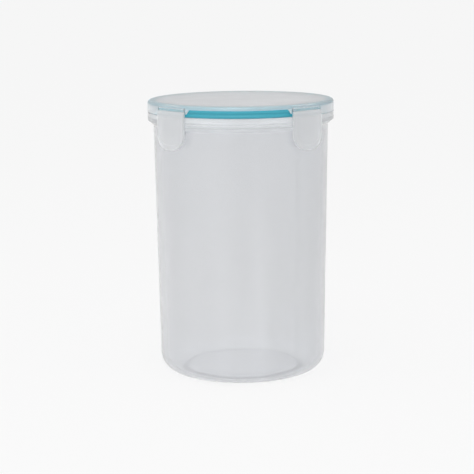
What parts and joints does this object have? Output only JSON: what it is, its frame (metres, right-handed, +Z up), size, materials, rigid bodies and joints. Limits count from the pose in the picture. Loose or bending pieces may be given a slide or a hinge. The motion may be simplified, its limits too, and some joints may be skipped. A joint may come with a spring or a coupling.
{
  "type": "food canister",
  "caption": "Tall round airtight food canister of frosted plastic with a clip-on lid, silicone seal ring and hinged locking flaps.",
  "frame": {"origin": "centre of the foot ring on the surface that the canister stands on", "axes": "+Z up along the canister's axis; -Y is the front, between the two front flaps"},
  "size_m": [0.1286, 0.1284, 0.19],
  "materials": {
    "frosted_body": "frosted, see-through, satin gloss",
    "frosted_lid": "frosted, see-through, satin gloss",
    "frosted_flap": "frosted, see-through, satin gloss",
    "silicone": "matt, slightly waxy"
  },
  "bodies": {
    "container": {"container": "frosted_body"},
    "lid": {"lid": "frosted_lid", "seal_ring": "silicone", "hinge_front_right": "frosted_flap", "hinge_rear_right": "frosted_flap", "hinge_rear_left": "frosted_flap", "hinge_front_left": "frosted_flap"},
    "flap_front_right": {"flap_front_right": "frosted_flap"},
    "flap_rear_right": {"flap_rear_right": "frosted_flap"},
    "flap_rear_left": {"flap_rear_left": "frosted_flap"},
    "flap_front_left": {"flap_front_left": "frosted_flap"}
  },
  "joints": [
    {"name": "lid_lift", "type": "slide", "parent": "container", "child": "lid", "axis": [0, 0, 1], "range_m": [0, 0.12]},
    {"name": "front_right_swing", "type": "hinge", "parent": "lid", "child": "flap_front_right", "pos_m": [0.0446, -0.0446, 0.1866], "axis": [-0.7071, -0.7071, 0], "range_deg": [0, 135], "deforming": ["hinge_front_right"]},
    {"name": "rear_right_swing", "type": "hinge", "parent": "lid", "child": "flap_rear_right", "pos_m": [0.0446, 0.0446, 0.1866], "axis": [0.7071, -0.7071, 0], "range_deg": [0, 135], "deforming": ["hinge_rear_right"]},
    {"name": "rear_left_swing", "type": "hinge", "parent": "lid", "child": "flap_rear_left", "pos_m": [-0.0446, 0.0446, 0.1866], "axis": [0.7071, 0.7071, 0], "range_deg": [0, 135], "deforming": ["hinge_rear_left"]},
    {"name": "front_left_swing", "type": "hinge", "parent": "lid", "child": "flap_front_left", "pos_m": [-0.0446, -0.0446, 0.1866], "axis": [-0.7071, 0.7071, 0], "range_deg": [0, 135], "deforming": ["hinge_front_left"]}
  ]
}
